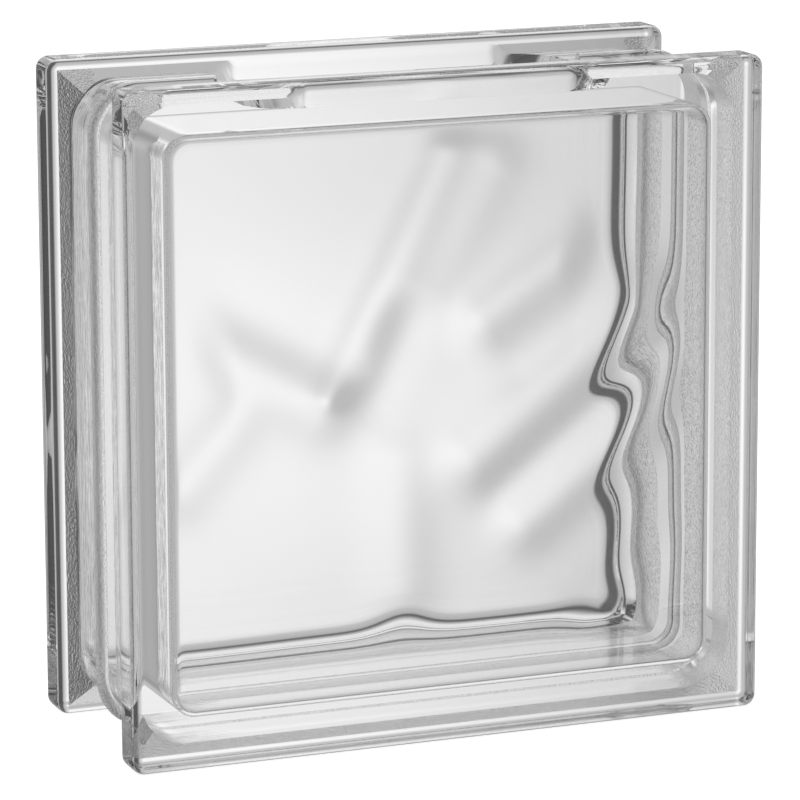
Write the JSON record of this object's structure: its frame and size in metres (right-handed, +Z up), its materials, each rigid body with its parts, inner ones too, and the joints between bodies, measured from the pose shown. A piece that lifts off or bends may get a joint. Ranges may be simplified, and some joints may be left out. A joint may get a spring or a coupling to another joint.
{
  "type": "glass block",
  "caption": "Square pressed hollow glass building block, clear, with wavy inner faces, a rounded flange round each face and a recessed mortar channel with a fused seam round its edge.",
  "frame": {"origin": "middle of the base, on the plane of the bottom flange lands", "axes": "+Z up, front face towards -Y, +X to the right as seen from the front"},
  "size_m": [0.19, 0.08, 0.19],
  "materials": {
    "glass": "clear fire-polished pressed glass"
  },
  "bodies": {
    "root": {"glass_block": "glass"}
  },
  "joints": []
}
